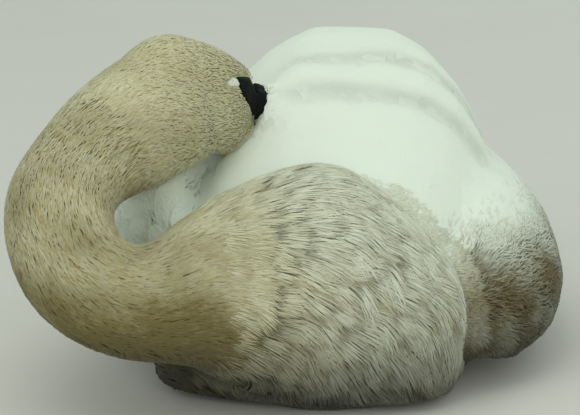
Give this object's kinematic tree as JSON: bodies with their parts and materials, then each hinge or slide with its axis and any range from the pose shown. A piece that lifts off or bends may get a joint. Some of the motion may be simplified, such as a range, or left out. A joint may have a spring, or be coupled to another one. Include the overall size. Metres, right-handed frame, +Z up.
{
  "type": "mute swan",
  "caption": "Life-size mute swan asleep on its belly, neck curled round to its right and bill tucked into the feathers of its back.",
  "frame": {"origin": "on the floor under the belly, at the middle of the body's width, in the flat on which the belly rests", "axes": "+Z up from the floor, +Y towards the tail and -Y the way the breast faces, +X towards the bird's left side"},
  "size_m": [0.4729, 0.7964, 0.3043],
  "materials": {
    "plumage_white": "soft smooth plumage",
    "plumage_breast": "soft ruffled plumage with tan edges",
    "plumage_tan": "short stained plumage",
    "eyelid": "matt bare skin",
    "black_skin": "satin bare skin and horn",
    "orange_bill": "satin horn",
    "leg_skin": "scaly matt skin"
  },
  "bodies": {
    "root": {"trunk": "plumage_white", "mantle": "plumage_white", "scapulars_left": "plumage_white", "scapulars_right": "plumage_white", "tertials_left": "plumage_white", "tertials_right": "plumage_white", "wing_left": "plumage_white", "wing_right": "plumage_white", "primaries_left": "plumage_white", "primaries_right": "plumage_white", "tail": "plumage_white", "breast": "plumage_breast", "neck_lower": "plumage_tan", "neck_middle": "plumage_tan", "neck_upper": "plumage_tan", "head": "plumage_tan", "eye_right": "eyelid", "eye_left": "eyelid", "lore_right": "black_skin", "lore_left": "black_skin", "bill_base": "black_skin", "bill_nail": "black_skin", "bill_lower": "black_skin", "bill_upper": "orange_bill", "foot_left": "leg_skin", "leg_left": "leg_skin", "foot_right": "leg_skin", "leg_right": "leg_skin"}
  },
  "joints": []
}
